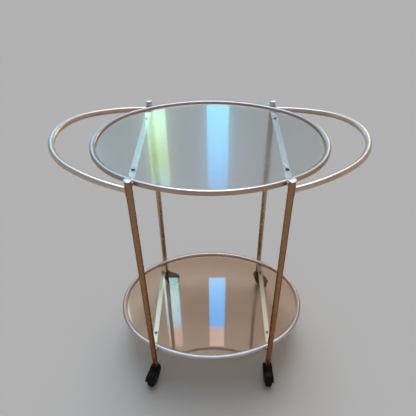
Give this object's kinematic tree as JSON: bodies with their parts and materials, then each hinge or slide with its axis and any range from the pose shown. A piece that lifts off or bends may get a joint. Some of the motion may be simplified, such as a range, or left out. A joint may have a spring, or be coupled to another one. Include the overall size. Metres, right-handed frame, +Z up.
{
  "type": "bar cart",
  "caption": "Rolling bar cart with oval glass shelves held in tube rings between upright tube legs, loop handles at both ends and swivel casters.",
  "frame": {"origin": "on the floor, under the middle of the overall length and width", "axes": "+X to the viewer's right along the cart's length, +Y towards the back, +Z up"},
  "size_m": [0.8094, 0.4901, 0.7868],
  "materials": {
    "frame_metal": "satin bronze",
    "cap_metal": "bright",
    "bar_metal": "satin",
    "upper_glass": "clear, polished",
    "lower_glass": "polished, bronze tone",
    "pad_rubber": "translucent grey",
    "screw_steel": "plain",
    "socket_plastic": "matte",
    "hood_metal": "dark brown, half gloss",
    "caster_steel": "dull",
    "hub_plastic": "matte",
    "tyre_rubber": "matte"
  },
  "bodies": {
    "cart": {"caster_socket_front_left": "socket_plastic", "caster_socket_front_right": "socket_plastic", "caster_socket_rear_left": "socket_plastic", "caster_socket_rear_right": "socket_plastic", "crossbar_lower_left": "bar_metal", "crossbar_lower_right": "bar_metal", "crossbar_upper_left": "bar_metal", "crossbar_upper_right": "bar_metal", "glass_lower": "lower_glass", "glass_upper": "upper_glass", "handle_left": "frame_metal", "handle_plates_left": "frame_metal", "handle_plates_right": "frame_metal", "handle_right": "frame_metal", "leg_cap_front_left": "cap_metal", "leg_cap_front_right": "cap_metal", "leg_cap_rear_left": "cap_metal", "leg_cap_rear_right": "cap_metal", "leg_front_left": "frame_metal", "leg_front_right": "frame_metal", "leg_rear_left": "frame_metal", "leg_rear_right": "frame_metal", "lower_ring": "frame_metal", "lower_ring_dowel": "frame_metal", "pads_lower": "pad_rubber", "pads_upper": "pad_rubber", "ring_saddles_lower": "frame_metal", "ring_saddles_upper": "frame_metal", "tab_screws": "screw_steel", "upper_ring": "frame_metal", "upper_ring_dowel": "frame_metal"},
    "swivel_front_left": {"caster_axle_front_left": "caster_steel", "caster_hood_front_left": "hood_metal", "caster_stem_front_left": "caster_steel"},
    "swivel_front_right": {"caster_axle_front_right": "caster_steel", "caster_hood_front_right": "hood_metal", "caster_stem_front_right": "caster_steel"},
    "swivel_rear_left": {"caster_axle_rear_left": "caster_steel", "caster_hood_rear_left": "hood_metal", "caster_stem_rear_left": "caster_steel"},
    "swivel_rear_right": {"caster_axle_rear_right": "caster_steel", "caster_hood_rear_right": "hood_metal", "caster_stem_rear_right": "caster_steel"},
    "wheel_front_left": {"caster_hub_front_left": "hub_plastic", "caster_tyre_front_left": "tyre_rubber"},
    "wheel_front_right": {"caster_hub_front_right": "hub_plastic", "caster_tyre_front_right": "tyre_rubber"},
    "wheel_rear_left": {"caster_hub_rear_left": "hub_plastic", "caster_tyre_rear_left": "tyre_rubber"},
    "wheel_rear_right": {"caster_hub_rear_right": "hub_plastic", "caster_tyre_rear_right": "tyre_rubber"}
  },
  "joints": [
    {"name": "swivel_front_left", "type": "hinge", "parent": "cart", "child": "swivel_front_left", "pos_m": [-0.18, -0.19329, 0.061], "axis": [0, 0, 1], "continuous": true},
    {"name": "roll_front_left", "type": "hinge", "parent": "swivel_front_left", "child": "wheel_front_left", "pos_m": [-0.18932, -0.21756, 0.025], "axis": [0.9336, -0.3584, 0], "continuous": true},
    {"name": "swivel_front_right", "type": "hinge", "parent": "cart", "child": "swivel_front_right", "pos_m": [0.18, -0.19329, 0.061], "axis": [0, 0, 1], "continuous": true},
    {"name": "roll_front_right", "type": "hinge", "parent": "swivel_front_right", "child": "wheel_front_right", "pos_m": [0.18181, -0.21923, 0.025], "axis": [0.9976, 0.0698, 0], "continuous": true},
    {"name": "swivel_rear_left", "type": "hinge", "parent": "cart", "child": "swivel_rear_left", "pos_m": [-0.18, 0.21337, 0.061], "axis": [0, 0, 1], "continuous": true},
    {"name": "roll_rear_left", "type": "hinge", "parent": "swivel_rear_left", "child": "wheel_rear_left", "pos_m": [-0.15489, 0.20664, 0.025], "axis": [0.2588, 0.9659, 0], "continuous": true},
    {"name": "swivel_rear_right", "type": "hinge", "parent": "cart", "child": "swivel_rear_right", "pos_m": [0.18, 0.21337, 0.061], "axis": [0, 0, 1], "continuous": true},
    {"name": "roll_rear_right", "type": "hinge", "parent": "swivel_rear_right", "child": "wheel_rear_right", "pos_m": [0.19491, 0.19207, 0.025], "axis": [0.8192, 0.5736, 0], "continuous": true}
  ]
}
